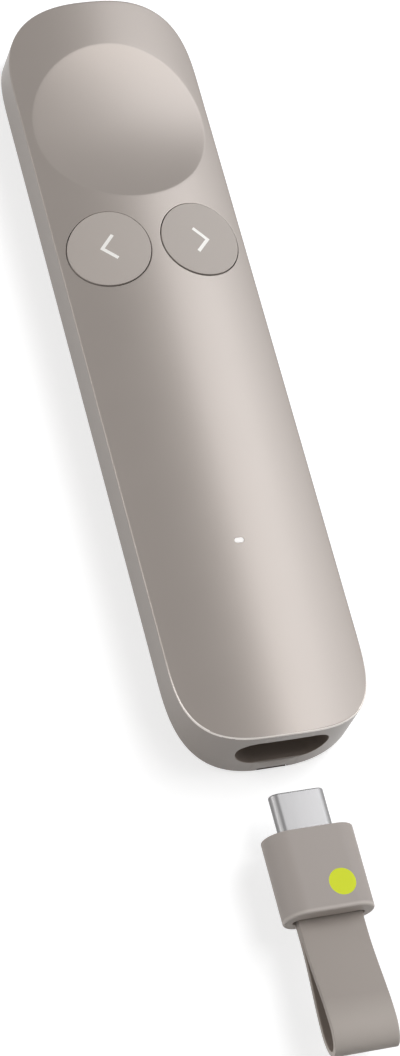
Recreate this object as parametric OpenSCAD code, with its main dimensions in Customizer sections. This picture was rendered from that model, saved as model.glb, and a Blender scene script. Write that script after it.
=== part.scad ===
// Wireless presentation clicker with a receiver that docks in its lower end.
// Frame: +Z up, Z = 0 is the flat land the remote rests on, +Y points to the thumb dish,
// X = 0 and Y = 0 are the middle of the body. The receiver is drawn pulled out of its dock.

/* [Body] */
// Overall width of the body
body_w = 29.5; // [28:0.1:34]
// Overall length of the body, without the receiver
body_l = 124; // [118:1:140]
// Height of the crest above the resting land
body_h = 12.7; // [12.5:0.1:13.5]
// How far the crown falls from the crest to the side edge
crown_rise = 2.9; // [2.7:0.1:3.1]
// How far the belly rises from its lowest line to the side edge
belly_rise = 4.05; // [3.8:0.05:4.2]
// Depth of the flat that is cut off the belly to rest on
land_cut = 0.15; // [0.1:0.05:0.25]
// Length over which each end rounds off in plan
end_depth = 15.5; // [13:0.5:17]
// Wall thickness of the shell
wall = 1.2; // [1:0.05:1.3]

/* [Thumb dish] */
// Width of the crown left between the dish rim and the side edge
dish_margin = 1.3; // [1.1:0.05:2]
// Distance from the dish rim to the upper end of the body
dish_end_gap = 7.85; // [6:0.05:10]
// Depth of the dish at its centre
dish_depth = 1.6; // [1:0.1:2]

/* [Keys] */
// Width of the bridge between the two key caps
key_bridge = 1.98; // [1.6:0.02:3]
// Width of the crown left between a key cap and the side edge
key_margin = 1.36; // [1.36:0.02:2]
// Distance from the dish rim to the key caps
key_dish_gap = 2.05; // [1.5:0.05:5]
// Gap between a key cap and its hole
key_gap = 0.13; // [0.1:0.01:0.15]
// How far a key cap stands proud of the crown
key_proud = 0.18; // [0:0.02:0.24]
// Travel of a key
key_travel = 0.3; // [0.2:0.05:0.3]
// Width of a chevron mark, tip to ends
mark_w = 1.96; // [1.6:0.02:2.6]
// Height of a chevron mark
mark_h = 3.95; // [3:0.05:4.4]
// Line width of a chevron mark
mark_line = 0.52; // [0.3:0.02:0.6]

/* [Light] */
// Distance of the status light from the lower end of the body
light_to_end = 30.9; // [29:0.1:40]
// Width of the status light
light_w = 1.4; // [1.2:0.1:2]
// Height of the status light
light_h = 0.8; // [0.7:0.02:1.1]

/* [Dock and receiver] */
// Width of the receiver housing
receiver_w = 13.7; // [13:0.1:14]
// Thickness of the receiver housing
receiver_h = 6.7; // [6.4:0.1:6.8]
// Length of the receiver housing
receiver_l = 12.6; // [12:0.1:14]
// Gap around the housing inside the dock
dock_gap = 0.2; // [0.15:0.05:0.25]
// How far the receiver is drawn pulled out of its docked place
pull_out = 26.2; // [20:0.1:30]
// Width of the metal plug
plug_w = 8.25; // [8.2:0.01:8.3]
// Thickness of the metal plug
plug_h = 2.4; // [2.35:0.01:2.45]
// Length of the metal plug outside the housing
plug_l = 6.4; // [6.2:0.1:6.6]
// Width of the strap
strap_w = 9.7; // [8:0.1:10]
// Thickness of the strap
strap_t = 0.9; // [0.7:0.05:0.9]
// Length of the strap loop outside the housing
loop_l = 20.1; // [17:0.1:26]
// Height of the loop at its widest
loop_h = 4.96; // [4:0.02:6]
// Diameter of the coloured spot on the housing
spot_d = 4; // [3:0.1:4.4]

/* [Battery] */
// Thickness of the battery
battery_t = 4; // [3:0.1:4.2]

/* [Hidden] */
crown_rad = ((body_w / 2) ^ 2 + crown_rise ^ 2) / (2 * crown_rise);
crown_axis = body_h - crown_rad;
belly_rad = ((body_w / 2) ^ 2 + belly_rise ^ 2) / (2 * belly_rise);
belly_axis = belly_rad - land_cut;
side_power = 3;
end_power = 3.2;
corner_steps = 22;
straight_half = body_l / 2 - end_depth;

cover_inset = wall + 0.7;
cover_gap = 0.1;
cover_t = 1.2;
ledge_w = 1.2;
ledge_t = 0.8;
latch_w = 4.8;
latch_h = 0.65;
latch_gap = 0.35;
latch_side_gap = 0.15;
latch_half = latch_w / 2 - latch_side_gap;
latch_root = 0.6;
hook_rows = [-0.75, -0.25, 0.25, 0.75] * straight_half;
hook_w = 4;
hook_t = 0.7;
hook_grip = 0.8;
hook_h = 0.95;
hook_gap = 0.2;
hook_lift = 0.05;

dish_r = body_w / 2 - dish_margin;
dish_y = body_l / 2 - dish_end_gap - dish_r;
dish_rim_drop = crown_rad - sqrt(crown_rad ^ 2 - dish_r ^ 2);
dish_side_sag = dish_rim_drop - dish_depth;
dish_floor_rad = (dish_r ^ 2 + dish_side_sag ^ 2) / (2 * dish_side_sag);
dish_profile_rad = (dish_r ^ 2 + dish_depth ^ 2) / (2 * dish_depth);

key_r = (body_w / 2 - key_margin - key_bridge / 2) / 2;
key_x = key_bridge / 2 + key_r;
key_y = dish_y - dish_r - key_dish_gap - key_r;
key_t = wall + 0.1;
key_bar_w = 3;
key_bar_over = 0.9;
key_stem_r = 1.5;
mark_depth = 0.35;
mark_shift = 1.11;
mark_step = 0.15;

dock_half_w = receiver_w / 2 + dock_gap;
dock_half_h = receiver_h / 2 + dock_gap;
dock_wall = 0.8;
dock_top_gap = 0.1;
dock_end_gap = 0.1;
dock_corner_gap = 0.166;
dock_recess = 0.4;
dock_pad_over = 1.65;
dock_flat = dock_half_w - dock_half_h;
dock_roof = crown_axis + sqrt((crown_rad - wall) ^ 2 - dock_flat ^ 2) - dock_top_gap;
dock_z = dock_roof - dock_wall - dock_half_h;
dock_corner = (dock_half_w + dock_wall + dock_corner_gap) / (body_w / 2 - wall);
dock_front_y = -straight_half
    - (end_depth - wall) * (1 - dock_corner ^ side_power) ^ (1 / end_power);
docked_end_y = -body_l / 2 + dock_recess;
dock_back_y = docked_end_y + receiver_l + dock_end_gap;
dock_pad_half = dock_half_w + dock_wall + dock_pad_over;

socket_y = dock_back_y;
socket_over = 0.9;
socket_l = plug_l + socket_over;
socket_wall = 0.3;
socket_back = 0.5;
socket_clear = 0.1;
socket_half_w = plug_w / 2 + socket_clear + socket_wall;
socket_half_h = plug_h / 2 + socket_clear + socket_wall;
tongue_w = 6.7;
tongue_t = 0.7;
tongue_set_back = 1.6;

board_t = 0.8;
board_drop = 3.9;
board_side_gap = 1.25;
board_dock_gap = 5.6;
board_end_gap = 8;
board_top = body_h - board_drop;
board_z = board_top - board_t;
board_half = body_w / 2 - wall - board_side_gap;
board_low_y = socket_y + socket_l + board_dock_gap;
board_high_y = body_l / 2 - board_end_gap;
light_y = -body_l / 2 + light_to_end;
led_w = 1.6;
led_l = 0.8;
led_t = 0.6;
pipe_foot_w = 3;
pipe_foot_l = 2.4;
pipe_foot_gap = 0.1;

screw_x = board_half - 1.7;
screw_to_keys = 13;
screw_rows = [board_low_y + 8, key_y - screw_to_keys, board_high_y - 4];
screw_r = 0.7;
screw_gap = 0.05;
screw_head_r = 1.3;
screw_head_t = 0.8;
screw_tip = board_top + 1.6;
screw_socket_r = 0.6;
screw_socket_h = 0.4;
screw_tip_gap = 0.1;
screw_hole_l = screw_tip - board_top + screw_tip_gap;
boss_r = 1.6;
ear_t = 0.8;
ear_half = 2.2;

processor_size = [6, 6, 0.9];
processor_y = (light_y + screw_rows[1]) / 2;
motion_size = [3, 2.5, 0.9];
motion_x = 3;
motion_shift = 8.5;
antenna_size = [7, 2, 0.8];
antenna_end_gap = 1.5;
lead_size = [4, 3, 1.5];
charger_size = [3, 3, 0.8];
charger_gap = 0.9;
charger_shift = 2.5;

switch_w = 4;
switch_l = 3.6;
switch_t = 0.75;
plunger_r = 0.8;
plunger_over = 0.35;
stem_gap = 0.05;
plunger_top = board_top + switch_t + plunger_over;
plunger_foot = board_top + key_travel + stem_gap;
plunger_gap = 0.1;

rail_t = 0.8;
rail_screw_gap = 0.1;
rail_out = screw_x - screw_head_r - rail_screw_gap;
rail_in = rail_out - rail_t;
frame_cover_gap = 0.18;
frame_floor_z = belly_axis - sqrt((belly_rad - cover_t) ^ 2 - rail_out ^ 2) + frame_cover_gap;
frame_floor_t = 0.6;
frame_floor_top = frame_floor_z + frame_floor_t;
frame_low_y = dock_back_y + dock_wall + 0.1;
frame_high_y = board_high_y - 1;
dock_board_t = 0.8;
dock_board_top = dock_z - socket_half_h;
dock_board_z = dock_board_top - dock_board_t;
dock_board_gap = 0.4;
dock_board_half = rail_in - dock_board_gap;
dock_board_high_y = board_low_y + 3.5;
rib_t = 1.5;
rib_set_in = 1;

sensor_r = 6;
sensor_boss_r = 2;
sensor_gap = 0.04;
sensor_roof_rad = dish_floor_rad - wall;
sensor_drop = sensor_roof_rad - sqrt(sensor_roof_rad ^ 2 - sensor_r ^ 2);
sensor_top = body_h - dish_depth - wall - sensor_drop - sensor_gap;
motor_r = 4;
motor_h = 2.6;
battery_side_gap = 0.3;
battery_end_gap = 3.5;
battery_lead_gap = 1.5;
battery_half_w = rail_in - battery_side_gap;
battery_low_y = dock_board_high_y + battery_end_gap;
lead_motor_gap = 3.2;
battery_high_y = dish_y - motor_r - lead_motor_gap - lead_size.y - battery_lead_gap;

housing_end = docked_end_y - pull_out;
housing_front = housing_end + receiver_l;
housing_wall = 1;
nose_gap = 0.03;
plug_wall = 0.25;
plug_root = 1.2;
plug_tip = housing_front + plug_l;
mouth_w = 6.95;
mouth_h = 0.95;
mouth_l = 5.4;
receiver_board_t = 0.6;
receiver_board_gap = 0.4;
receiver_chip_size = [4, 4, 0.8];
receiver_chip_shift = 3.6;
strap_z = dock_z - 0.25;
strap_end_z = strap_z + 0.33;
strap_slot_gap = 0.15;
strap_slot_over = 0.57;
pin_r = 0.6;
pin_gap = 0.03;
pin_y = housing_end + 3.2;
pin_end_wall = 0.65;
pin_half = receiver_w / 2 - pin_end_wall;
pin_end_gap = 0.05;
neck_l = 3;
loop_tip_l = 3.9;
spot_x = 2.15;
spot_y = housing_end + 3.85;
spot_t = 0.25;

shell_colour = "#aba19a";
mark_colour = "#f1eee9";
metal_colour = "#c9c9c9";
plastic_colour = "#2c2c2e";
board_colour = "#1f4a36";
chip_colour = "#202124";
strap_colour = "#9f9690";
spot_colour = "#d4e22a";

// ---- shared shapes ----

// One quarter of the plan outline, a superellipse end moved in by inset.
function quarter(inset) = [
    for (i = [0 : corner_steps])
        let (t = 90 * i / corner_steps)
        [
            (body_w / 2 - inset) * pow(cos(t), 2 / side_power),
            straight_half + (end_depth - inset) * pow(sin(t), 2 / end_power)
        ]
];

function back_to_front(points) = [for (i = [len(points) - 1 : -1 : 0]) points[i]];

// Both ends are alike, so the upper half is mirrored to the lower one.
function outline(inset) =
    let (right = quarter(inset))
    let (left = [for (i = [corner_steps - 1 : -1 : 0]) [-right[i].x, right[i].y]])
    let (upper = concat(right, left))
    concat(upper, [for (p = upper) [-p.x, -p.y]]);

module plan_prism(inset, low, high) {
    translate([0, 0, low])
        linear_extrude(high - low)
            polygon(outline(inset));
}

// A long cylinder along the body, for the crown and the belly.
module barrel(radius, axis_z) {
    translate([0, 0, axis_z])
        rotate([90, 0, 0])
            cylinder(r = radius, h = body_l + 20, center = true, $fn = 360);
}

// Draws its children on the right, and their mirror image on the left.
module both_sides() {
    children();
    mirror([1, 0, 0])
        children();
}

module crown(depth) {
    barrel(crown_rad - depth, crown_axis);
}

module belly(depth) {
    barrel(belly_rad - depth, belly_axis);
}

// A block from one corner to the other.
module block(low, high) {
    translate(low)
        cube(high - low);
}

// A flat-sided bar with round edges, running along the body at the dock's height.
module round_bar(half_w, half_h, low_y, high_y) {
    translate([0, high_y, dock_z])
        rotate([90, 0, 0])
            linear_extrude(high_y - low_y) {
                square([2 * (half_w - half_h), 2 * half_h], center = true);
                for (side = [-1, 1])
                    translate([side * (half_w - half_h), 0])
                        circle(r = half_h, $fn = 96);
            }
}

// The space above the dish: a ring that curves up along the body and down across it.
module dish_space(depth) {
    translate([0, dish_y, body_h - dish_depth - dish_floor_rad])
        rotate([90, 0, 0])
            rotate([0, 0, 80])
                rotate_extrude(angle = 20, $fn = 720)
                    translate([dish_floor_rad + dish_profile_rad, 0])
                        circle(r = dish_profile_rad + depth, $fn = 360);
}

module outer_body() {
    intersection() {
        plan_prism(0, 0, body_h + 1);
        crown(0);
        belly(0);
    }
}

// ---- body ----

module screw_bosses() {
    both_sides()
        for (row = screw_rows)
            translate([screw_x, row, board_top])
                cylinder(r = boss_r, h = body_h - board_top, $fn = 48);
}

module shell_inside() {
    difference() {
        intersection() {
            plan_prism(wall, 0, body_h);
            crown(wall);
            belly(cover_t + ledge_t);
        }
        dish_space(wall);
        block([-dock_pad_half, -body_l / 2, 0], [dock_pad_half, dock_front_y, body_h]);
        screw_bosses();
        translate([0, dish_y, sensor_top])
            cylinder(r = sensor_boss_r, h = 2, $fn = 48);
    }
}

// The belly's opening, the step its cover sits in, and the notch for the cover's latch.
module cover_opening() {
    plan_prism(cover_inset + ledge_w, -1, belly_rise + 1);
    difference() {
        plan_prism(cover_inset - cover_gap, -1, belly_rise + 1);
        belly(cover_t);
    }
    block([-latch_w / 2, -body_l / 2 - 1, -1], [latch_w / 2, -body_l / 2 + 3, latch_h]);
}

module light_hole(grow) {
    translate([0, light_y, board_top])
        linear_extrude(body_h) {
            square([light_w - light_h, light_h + 2 * grow], center = true);
            for (side = [-1, 1])
                translate([side * (light_w - light_h) / 2, 0])
                    circle(r = light_h / 2 + grow, $fn = 48);
        }
}

module main_shell() {
    color(shell_colour)
        difference() {
            outer_body();
            shell_inside();
            dish_space(0);
            cover_opening();
            round_bar(dock_half_w, dock_half_h, -body_l / 2 - 1, dock_front_y + 1);
            light_hole(0.03);
            both_sides() {
                translate([key_x, key_y, board_top])
                    cylinder(r = key_r + key_gap, h = body_h, $fn = 128);
                for (row = screw_rows)
                    translate([screw_x, row, board_top - 1])
                        cylinder(r = screw_r + screw_gap, h = screw_hole_l + 1, $fn = 32);
            }
        }
}

// Posts with a barb that grips the ledge above the cover.
module cover_hooks() {
    post_out = body_w / 2 - cover_inset - ledge_w - hook_gap;
    barb_out = post_out + hook_grip;
    ledge_top = belly_axis - sqrt((belly_rad - cover_t - ledge_t) ^ 2 - barb_out ^ 2);
    root = belly_axis - sqrt((belly_rad - cover_t / 2) ^ 2 - (post_out - hook_t) ^ 2);
    both_sides()
        for (row = hook_rows)
            translate([0, row, 0]) {
                block(
                    [post_out - hook_t, -hook_w / 2, root],
                    [post_out, hook_w / 2, ledge_top + hook_h]
                );
                block(
                    [post_out - hook_t, -hook_w / 2, ledge_top + hook_lift],
                    [barb_out, hook_w / 2, ledge_top + hook_h]
                );
            }
}

module back_cover() {
    color(shell_colour)
        union() {
            difference() {
                intersection() {
                    plan_prism(cover_inset, 0, belly_rise + 1);
                    belly(0);
                }
                belly(cover_t);
            }
            block(
                [-latch_half, -body_l / 2 + cover_gap, 0],
                [latch_half, -body_l / 2 + cover_inset + latch_root, latch_h - latch_gap]
            );
            cover_hooks();
        }
}

// ---- keys ----

function flip(p) = [p.x, -p.y];

// Chevron with its tip at the origin and its arms towards +X.
module chevron() {
    lean = atan(mark_h / 2 / mark_w);
    half = mark_line / 2;
    tip = half / sin(lean);
    across = half * [-sin(lean), cos(lean)];
    end = [mark_w, mark_h / 2];
    polygon([
        [-tip, 0],
        flip(end + across),
        flip(end - across),
        [tip, 0],
        end - across,
        end + across
    ]);
}

// side is -1 for the left key and 1 for the right one. The left mark sits a little above the right one.
module key_mark(side) {
    difference() {
        intersection() {
            translate([side * (key_x + mark_shift), key_y - side * mark_step, board_top])
                linear_extrude(body_h)
                    rotate(side > 0 ? 180 : 0)
                        chevron();
            crown(-key_proud);
        }
        crown(mark_depth - key_proud);
    }
}

module key_cap(side) {
    difference() {
        intersection() {
            translate([side * key_x, key_y, board_top])
                cylinder(r = key_r, h = body_h, $fn = 128);
            crown(-key_proud);
        }
        crown(key_t);
    }
}

// Stop bar that holds the key in, and the stem that presses the switch.
module key_under(side) {
    reach = key_r + key_bar_over;
    intersection() {
        translate([side * key_x, key_y, plunger_top]) {
            translate([-key_bar_w / 2, -reach, stem_gap])
                cube([key_bar_w, 2 * reach, body_h]);
            cylinder(r = key_stem_r, h = body_h, $fn = 48);
        }
        crown(wall + stem_gap);
    }
}

module key(side) {
    color(shell_colour)
        difference() {
            union() {
                key_cap(side);
                key_under(side);
            }
            key_mark(side);
        }
}

module left_key() {
    key(-1);
}

module right_key() {
    key(1);
}

module left_key_mark() {
    color(mark_colour)
        key_mark(-1);
}

module right_key_mark() {
    color(mark_colour)
        key_mark(1);
}

module switch_case(side) {
    color(metal_colour)
        translate([side * key_x, key_y, board_top])
            difference() {
                translate([-switch_w / 2, -switch_l / 2, 0])
                    cube([switch_w, switch_l, switch_t]);
                translate([0, 0, -1])
                    cylinder(r = plunger_r + plunger_gap, h = switch_t + 2, $fn = 48);
            }
}

module left_switch() {
    switch_case(-1);
}

module right_switch() {
    switch_case(1);
}

module plunger(side) {
    color(plastic_colour)
        translate([side * key_x, key_y, plunger_foot])
            cylinder(r = plunger_r, h = plunger_top - plunger_foot, $fn = 48);
}

module left_plunger() {
    plunger(-1);
}

module right_plunger() {
    plunger(1);
}

// ---- light ----

// Clear pipe: a foot on the lamp, and a stem that fills the hole in the crown.
module light_pipe() {
    foot = board_top + led_t;
    color("white")
        intersection() {
            union() {
                light_hole(0);
                translate([-pipe_foot_w / 2, light_y - pipe_foot_l / 2, foot])
                    cube([pipe_foot_w, pipe_foot_l, body_h - wall - pipe_foot_gap - foot]);
            }
            block([-body_w / 2, -body_l / 2, foot], [body_w / 2, body_l / 2, body_h + 1]);
            crown(0);
        }
}

module status_led() {
    color("#f4f4e8")
        chip(0, light_y, board_top, [led_w, led_l, led_t]);
}

// ---- electronics ----

// A block of the given size on a board, centred on x and y.
module chip(x, y, z, size) {
    translate([x - size.x / 2, y - size.y / 2, z])
        cube(size);
}

module main_board() {
    color(board_colour)
        difference() {
            block([-board_half, board_low_y, board_z], [board_half, board_high_y, board_top]);
            both_sides()
                for (row = screw_rows)
                    translate([screw_x, row, board_z - 1])
                        cylinder(r = screw_r + 2 * screw_gap, h = board_t + 2, $fn = 32);
        }
}

module processor_chip() {
    color(chip_colour)
        chip(0, processor_y, board_top, processor_size);
}

module motion_sensor() {
    color(chip_colour)
        chip(motion_x, processor_y + motion_shift, board_top, motion_size);
}

module radio_antenna() {
    color("#e8e2d4")
        chip(0, board_high_y - antenna_end_gap, board_top, antenna_size);
}

module pad_sensor() {
    color("#b98a3c")
        translate([0, dish_y, board_top])
            cylinder(r = sensor_r, h = sensor_top - board_top, $fn = 96);
}

module haptic_motor() {
    color(metal_colour)
        translate([0, dish_y, board_z - motor_h])
            cylinder(r = motor_r, h = motor_h, $fn = 96);
}

// Tray under the board: floor, rails, ears for the screws and ribs under the dock board.
module inner_frame() {
    color(plastic_colour)
        difference() {
            union() {
                block(
                    [-rail_out, frame_low_y, frame_floor_z],
                    [rail_out, frame_high_y, frame_floor_top]
                );
                both_sides() {
                    block([rail_in, board_low_y, frame_floor_z], [rail_out, frame_high_y, board_z]);
                    block(
                        [dock_board_half - rib_set_in - rib_t, frame_low_y, frame_floor_z],
                        [dock_board_half - rib_set_in, dock_board_high_y, dock_board_z]
                    );
                    for (row = screw_rows)
                        block(
                            [rail_in, row - ear_half, board_z - ear_t],
                            [board_half, row + ear_half, board_z]
                        );
                }
            }
            both_sides()
                for (row = screw_rows)
                    translate([screw_x, row, board_z - 2])
                        cylinder(r = screw_r + 2 * screw_gap, h = 4, $fn = 32);
        }
}

module frame_screws() {
    under = board_z - ear_t;
    color(metal_colour)
        both_sides()
            for (row = screw_rows)
                translate([screw_x, row, under])
                    difference() {
                        union() {
                            cylinder(r = screw_r, h = screw_tip - under, $fn = 32);
                            translate([0, 0, -screw_head_t])
                                cylinder(r = screw_head_r, h = screw_head_t, $fn = 48);
                        }
                        translate([0, 0, -screw_head_t - 1])
                            cylinder(r = screw_socket_r, h = screw_socket_h + 1, $fn = 6);
                    }
}

module battery() {
    color("#9aa0a6")
        block(
            [-battery_half_w, battery_low_y, frame_floor_top],
            [battery_half_w, battery_high_y, frame_floor_top + battery_t]
        );
}

module battery_connector() {
    color("#e6e2d8")
        chip(
            0,
            battery_high_y + battery_lead_gap + lead_size.y / 2,
            board_z - lead_size.z,
            lead_size
        );
}

// ---- dock ----

module dock_board() {
    color(board_colour)
        block(
            [-dock_board_half, frame_low_y + 0.2, dock_board_z],
            [dock_board_half, dock_board_high_y, dock_board_top]
        );
}

module board_connector() {
    color(plastic_colour)
        block([-4, board_low_y + 0.3, dock_board_top], [4, board_low_y + 2.8, board_z]);
}

module charger_chip() {
    color(chip_colour)
        chip(
            dock_board_half - charger_gap - charger_size.x / 2,
            board_low_y - charger_shift,
            dock_board_top,
            charger_size
        );
}

module charge_socket() {
    back = socket_y + socket_l;
    color(metal_colour)
        difference() {
            round_bar(socket_half_w, socket_half_h, socket_y, back);
            round_bar(
                socket_half_w - socket_wall,
                socket_half_h - socket_wall,
                socket_y - 1,
                back - socket_back
            );
        }
}

module socket_tongue() {
    color(plastic_colour)
        block(
            [-tongue_w / 2, socket_y + tongue_set_back, dock_z - tongue_t / 2],
            [tongue_w / 2, socket_y + socket_l - socket_back, dock_z + tongue_t / 2]
        );
}

// Cup around the docked receiver, with a mouth for the charge socket at its inner end.
module receiver_dock() {
    color(plastic_colour)
        difference() {
            round_bar(
                dock_half_w + dock_wall,
                dock_half_h + dock_wall,
                dock_front_y,
                dock_back_y + dock_wall
            );
            round_bar(dock_half_w, dock_half_h, dock_front_y - 1, dock_back_y);
            round_bar(socket_half_w, socket_half_h, dock_back_y - 1, dock_back_y + 2);
        }
}

// ---- receiver ----

// Height of the strap's middle line, which rises a little towards the loop's tip.
function strap_mid(y) =
    let (part = (housing_end - y) / loop_l)
    strap_z + (strap_end_z - strap_z) * min(max(part, 0), 1);

function smooth(s) = s * s * (3 - 2 * s);

// One side of the loop, from the neck to the tip. side is 1 above and -1 below.
function loop_side(side, inner) =
    let (neck_y = housing_end - neck_l)
    let (flare = loop_l - neck_l - loop_tip_l)
    concat(
        [
            for (i = [0 : 12])
                let (s = i / 12)
                let (y = neck_y - flare * s)
                let (half = strap_t + (loop_h / 2 - strap_t) * smooth(s) - inner)
                [y, strap_mid(y) + side * max(half, 0)]
        ],
        [
            for (i = [1 : 11])
                let (a = 90 * i / 12)
                let (y = neck_y - flare - (loop_tip_l - inner) * sin(a))
                [y, strap_mid(y) + side * (loop_h / 2 - inner) * cos(a)]
        ]
    );

function loop_outline(inner) = concat(
    loop_side(1, inner),
    [[housing_end - loop_l + inner, strap_end_z]],
    back_to_front(loop_side(-1, inner))
);

module receiver_housing() {
    half_w = receiver_w / 2;
    half_h = receiver_h / 2;
    color(shell_colour)
        difference() {
            round_bar(half_w, half_h, housing_end, housing_front);
            round_bar(
                half_w - housing_wall,
                half_h - housing_wall,
                housing_end + housing_wall,
                housing_front + 1
            );
            translate([0, 0, strap_z - dock_z])
                round_bar(
                    strap_w / 2 + strap_slot_over,
                    strap_t + strap_slot_gap,
                    housing_end - 1,
                    housing_end + housing_wall + 1
                );
            translate([0, pin_y, strap_z])
                rotate([0, 90, 0])
                    cylinder(
                        r = pin_r + pin_gap,
                        h = 2 * (pin_half + pin_end_gap),
                        center = true,
                        $fn = 48
                    );
            spot_shape();
        }
}

module receiver_nose() {
    color(shell_colour)
        difference() {
            round_bar(
                receiver_w / 2 - housing_wall - nose_gap,
                receiver_h / 2 - housing_wall - nose_gap,
                housing_front - housing_wall,
                housing_front
            );
            round_bar(plug_w / 2, plug_h / 2, housing_front - 2, housing_front + 1);
        }
}

module plug_shell() {
    color(metal_colour)
        difference() {
            round_bar(plug_w / 2, plug_h / 2, housing_front - plug_root, plug_tip);
            round_bar(
                plug_w / 2 - plug_wall,
                plug_h / 2 - plug_wall,
                housing_front - plug_root - 1,
                plug_tip + 1
            );
        }
}

module plug_insert() {
    color(plastic_colour)
        difference() {
            round_bar(
                plug_w / 2 - plug_wall,
                plug_h / 2 - plug_wall,
                housing_front - plug_root,
                plug_tip - 0.2
            );
            block(
                [-mouth_w / 2, plug_tip - mouth_l, dock_z - mouth_h / 2],
                [mouth_w / 2, plug_tip + 1, dock_z + mouth_h / 2]
            );
        }
}

module receiver_board() {
    half = receiver_w / 2 - housing_wall - 2 * nose_gap;
    color(board_colour)
        block(
            [-half, pin_y + pin_r + strap_t + receiver_board_gap, dock_z - receiver_board_t / 2],
            [half, housing_front - plug_root, dock_z + receiver_board_t / 2]
        );
}

module receiver_chip() {
    color(chip_colour)
        chip(
            0,
            housing_front - receiver_chip_shift,
            dock_z + receiver_board_t / 2,
            receiver_chip_size
        );
}

module strap_pin() {
    color(metal_colour)
        translate([0, pin_y, strap_z])
            rotate([0, 90, 0])
                cylinder(r = pin_r, h = 2 * pin_half, center = true, $fn = 48);
}

// A band looped through the housing's slot and round the pin.
module strap() {
    color(strap_colour)
        difference() {
            rotate([90, 0, 90])
                linear_extrude(strap_w, center = true) {
                    difference() {
                        polygon(loop_outline(0));
                        polygon(loop_outline(strap_t));
                    }
                    translate([housing_end - neck_l, strap_z - strap_t])
                        square([neck_l + pin_y - housing_end, 2 * strap_t]);
                    translate([pin_y, strap_z])
                        circle(r = pin_r + strap_t, $fn = 48);
                }
            translate([0, pin_y, strap_z])
                rotate([0, 90, 0])
                    cylinder(r = pin_r + pin_gap, h = strap_w + 2, center = true, $fn = 48);
        }
}

module spot_shape() {
    intersection() {
        translate([spot_x, spot_y, dock_z + receiver_h / 2 - spot_t])
            cylinder(r = spot_d / 2, h = 2, $fn = 64);
        round_bar(receiver_w / 2, receiver_h / 2, housing_end, housing_front);
    }
}

module accent_spot() {
    color(spot_colour)
        spot_shape();
}

main_shell();
back_cover();
left_key();
right_key();
left_key_mark();
right_key_mark();
left_switch();
right_switch();
left_plunger();
right_plunger();
light_pipe();
status_led();
main_board();
processor_chip();
motion_sensor();
radio_antenna();
pad_sensor();
haptic_motor();
inner_frame();
frame_screws();
battery();
battery_connector();
dock_board();
board_connector();
charger_chip();
charge_socket();
socket_tongue();
receiver_dock();
receiver_housing();
receiver_nose();
plug_shell();
plug_insert();
receiver_board();
receiver_chip();
strap_pin();
strap();
accent_spot();
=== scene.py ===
import math

import bmesh
import bpy
from mathutils import Matrix, Vector


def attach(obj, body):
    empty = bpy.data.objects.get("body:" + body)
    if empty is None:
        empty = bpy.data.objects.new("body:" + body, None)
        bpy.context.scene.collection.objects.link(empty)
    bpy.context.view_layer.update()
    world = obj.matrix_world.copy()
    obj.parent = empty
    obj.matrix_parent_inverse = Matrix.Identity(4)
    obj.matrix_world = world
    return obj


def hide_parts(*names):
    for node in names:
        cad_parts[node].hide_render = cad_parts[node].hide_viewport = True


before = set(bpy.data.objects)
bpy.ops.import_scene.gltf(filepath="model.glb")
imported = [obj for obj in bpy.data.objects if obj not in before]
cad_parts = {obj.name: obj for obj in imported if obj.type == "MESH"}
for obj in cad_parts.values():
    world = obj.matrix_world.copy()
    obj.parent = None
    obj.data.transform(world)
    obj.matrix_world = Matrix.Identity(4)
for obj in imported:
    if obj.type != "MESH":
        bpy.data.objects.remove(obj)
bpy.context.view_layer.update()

# ---- sizes, in millimetres, as the parts are made ----

MM = 0.001
BODY_W = 29.5
BODY_L = 124.0
BODY_H = 12.7
CROWN_RISE = 2.9
BELLY_RISE = 4.05
LAND_CUT = 0.15
END_DEPTH = 15.5
WALL = 1.2
SIDE_POWER = 3.0
END_POWER = 3.2
HALF_W = BODY_W / 2
STRAIGHT = BODY_L / 2 - END_DEPTH
CROWN_RAD = (HALF_W ** 2 + CROWN_RISE ** 2) / (2 * CROWN_RISE)
CROWN_AXIS = BODY_H - CROWN_RAD
BELLY_RAD = (HALF_W ** 2 + BELLY_RISE ** 2) / (2 * BELLY_RISE)
BELLY_AXIS = BELLY_RAD - LAND_CUT

DISH_R = 13.45
DISH_Y = 40.7
DISH_DEPTH = 1.6
DISH_DROP = CROWN_RAD - math.sqrt(CROWN_RAD ** 2 - DISH_R ** 2)
DISH_SAG = DISH_DROP - DISH_DEPTH
DISH_FLOOR_RAD = (DISH_R ** 2 + DISH_SAG ** 2) / (2 * DISH_SAG)
DISH_PROFILE_RAD = (DISH_R ** 2 + DISH_DEPTH ** 2) / (2 * DISH_DEPTH)
DISH_SOFT = 0.028

SIDES = (-1, 1)
KEY_R = 6.2
KEY_X = 7.19
KEY_Y = 19.0
KEY_GAP = 0.13
KEY_HOLE_R = KEY_R + KEY_GAP
KEY_HOLE_EDGE = 0.06
KEY_PROUD = 0.18
KEY_T = 1.3
KEY_EDGE = 0.07
BAR_REACH = KEY_R + 0.9
BAR_HALF_W = 1.5
BAR_TOP = 11
STEM_R = 1.45
STEM_TOP = 10.6
MARK_DEPTH = 0.35
MARK_SHIFT = 1.11
MARK_STEP = 0.15
MARK_W = 1.96
MARK_H = 3.95
MARK_LINE = 0.52
PLUNGER_TOP = 9.9
STEM_GAP = 0.05

LIGHT_Y = -31.1
LIGHT_W = 1.4
LIGHT_H = 0.8
LIGHT_GAP = 0.03
LIGHT_EDGE = 0.03

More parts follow.
